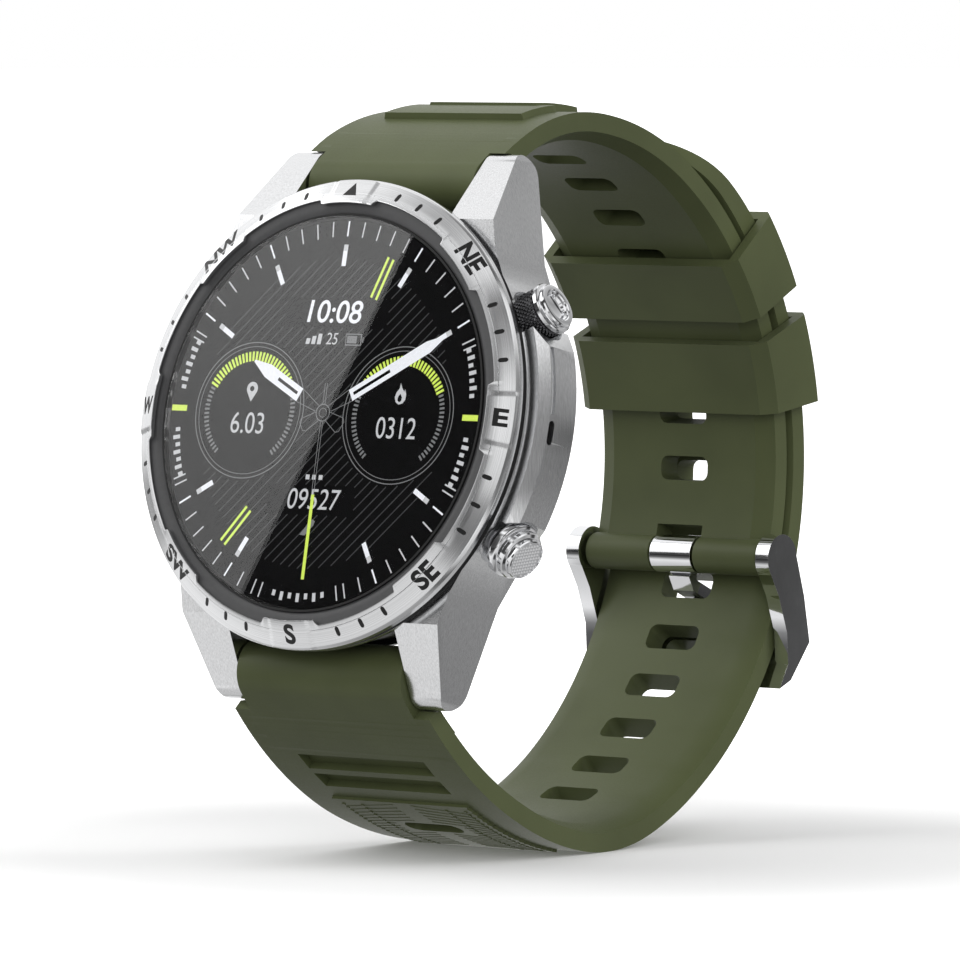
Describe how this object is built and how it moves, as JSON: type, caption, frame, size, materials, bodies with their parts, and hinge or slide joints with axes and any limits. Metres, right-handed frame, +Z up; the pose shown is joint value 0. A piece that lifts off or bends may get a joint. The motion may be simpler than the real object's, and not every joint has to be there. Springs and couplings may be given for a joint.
{
  "type": "golf gps watch",
  "caption": "Round sports watch with a turning compass bezel, a knurled crown, a push button and a buckled green rubber strap.",
  "frame": {"origin": "under the middle of the watch, on the surface the buckled strap stands on", "axes": "+Z up; the dial faces -Y and leans back 12.7 degrees; +X is towards 3 o'clock, the side with the crown and the button"},
  "size_m": [0.051, 0.075, 0.0783],
  "materials": {
    "glass": "clear, flat, polished",
    "display": "lit black display",
    "dial_white": "bright white marks on the display",
    "dial_lime": "bright yellow-green marks on the display",
    "dial_grey": "dim grey marks on the display",
    "ring_grey": "satin dark grey",
    "steel": "finely brushed",
    "steel_polished": "polished",
    "steel_inner": "plain",
    "mark_black": "black filled marks",
    "knurl_black": "black coated, knurled",
    "case_black": "moulded, satin",
    "back_black": "moulded, polished",
    "sensor_black": "dark infrared window",
    "seal_black": "soft",
    "strap_green": "moulded, satin",
    "keeper_green": "moulded, satin",
    "gold": "gold plated",
    "board_green": "solder mask",
    "cell_grey": "foil pouch",
    "antenna_tan": "plated carrier",
    "motor_silver": "plain can",
    "speaker_black": "moulded",
    "switch_grey": "moulded"
  },
  "bodies": {
    "watch": {"cover_glass": "glass", "glass_gasket": "seal_black", "display_panel": "display", "inner_ring": "ring_grey", "click_spring": "steel_inner", "bezel_gasket": "seal_black", "mid_case": "steel", "inner_case": "case_black", "case_back": "back_black", "back_gasket": "seal_black", "back_screws": "steel_inner", "sensor_window": "sensor_black", "sensor_board": "board_green", "charging_pins": "gold", "main_board": "board_green", "battery": "cell_grey", "gps_antenna": "antenna_tan", "vibration_motor": "motor_silver", "speaker": "speaker_black", "side_switches": "switch_grey", "crown_oring": "seal_black", "crown_spring": "steel_inner", "crown_tube": "steel_inner", "button_oring": "seal_black", "button_spring": "steel_inner", "button_tube": "steel_inner", "strap_upper": "strap_green", "strap_lower": "strap_green", "upper_bar_tube": "steel_inner", "upper_bar_spring": "steel_inner", "lower_bar_tube": "steel_inner", "lower_bar_spring": "steel_inner", "buckle_bar": "steel_inner"},
    "bezel": {"compass_bezel": "steel"},
    "crown_slide": {"crown_clip": "steel_inner"},
    "crown": {"crown_knob": "knurl_black", "crown_end_ring": "steel_polished", "crown_stem": "steel_inner"},
    "button": {"button_head": "steel_polished", "button_stem": "steel_inner", "button_clip": "steel_inner"},
    "upper_keeper": {"upper_keeper": "keeper_green"},
    "lower_keeper": {"lower_keeper": "keeper_green"},
    "buckle": {"buckle_frame": "steel_polished"},
    "tongue": {"buckle_tongue": "steel_polished"},
    "upper_bar_left_tip": {"upper_bar_left_tip": "steel_inner"},
    "upper_bar_right_tip": {"upper_bar_right_tip": "steel_inner"},
    "lower_bar_left_tip": {"lower_bar_left_tip": "steel_inner"},
    "lower_bar_right_tip": {"lower_bar_right_tip": "steel_inner"}
  },
  "joints": [
    {"name": "bezel_turn", "type": "hinge", "parent": "watch", "child": "bezel", "pos_m": [-0.001, -0.03197, 0.04686], "axis": [0, -0.9755, 0.2198], "continuous": true},
    {"name": "crown_press", "type": "slide", "parent": "watch", "child": "crown_slide", "axis": [-0.887, -0.1015, -0.4505], "range_m": [0, 0.0004], "stiffness_N_per_m": 800, "springref_m": -0.001, "deforming": ["crown_spring"]},
    {"name": "crown_turn", "type": "hinge", "parent": "crown_slide", "child": "crown", "pos_m": [-0.001, -0.0267, 0.04568], "axis": [0.887, 0.1015, 0.4505], "continuous": true},
    {"name": "button_press", "type": "slide", "parent": "watch", "child": "button", "axis": [-0.8788, 0.1049, 0.4655], "range_m": [0, 0.0004], "stiffness_N_per_m": 800, "springref_m": -0.001, "deforming": ["button_spring"]},
    {"name": "upper_keeper_slide", "type": "hinge", "parent": "watch", "child": "upper_keeper", "pos_m": [-0.001, -0.00427, 0.03986], "axis": [1, 0, 0], "range_deg": [-2, 20]},
    {"name": "lower_keeper_slide", "type": "hinge", "parent": "watch", "child": "lower_keeper", "pos_m": [-0.001, -0.00427, 0.03986], "axis": [1, 0, 0], "range_deg": [-18, 1.5]},
    {"name": "buckle_swing", "type": "hinge", "parent": "watch", "child": "buckle", "pos_m": [-0.001, 0.02964, 0.02936], "axis": [1, 0, 0], "range_deg": [0, 6]},
    {"name": "tongue_swing", "type": "hinge", "parent": "buckle", "child": "tongue", "pos_m": [-0.001, 0.02964, 0.02936], "axis": [1, 0, 0], "range_deg": [0, 4]},
    {"name": "upper_bar_left_tip_slide", "type": "slide", "parent": "watch", "child": "upper_bar_left_tip", "axis": [1, 0, 0], "range_m": [0, 0.0013], "stiffness_N_per_m": 300, "springref_m": -0.0015, "deforming": ["upper_bar_spring"]},
    {"name": "upper_bar_right_tip_slide", "type": "slide", "parent": "watch", "child": "upper_bar_right_tip", "axis": [-1, 0, 0], "range_m": [0, 0.0013], "stiffness_N_per_m": 300, "springref_m": -0.0015, "deforming": ["upper_bar_spring"]},
    {"name": "lower_bar_left_tip_slide", "type": "slide", "parent": "watch", "child": "lower_bar_left_tip", "axis": [1, 0, 0], "range_m": [0, 0.0013], "stiffness_N_per_m": 300, "springref_m": -0.0015, "deforming": ["lower_bar_spring"]},
    {"name": "lower_bar_right_tip_slide", "type": "slide", "parent": "watch", "child": "lower_bar_right_tip", "axis": [-1, 0, 0], "range_m": [0, 0.0013], "stiffness_N_per_m": 300, "springref_m": -0.0015, "deforming": ["lower_bar_spring"]}
  ]
}
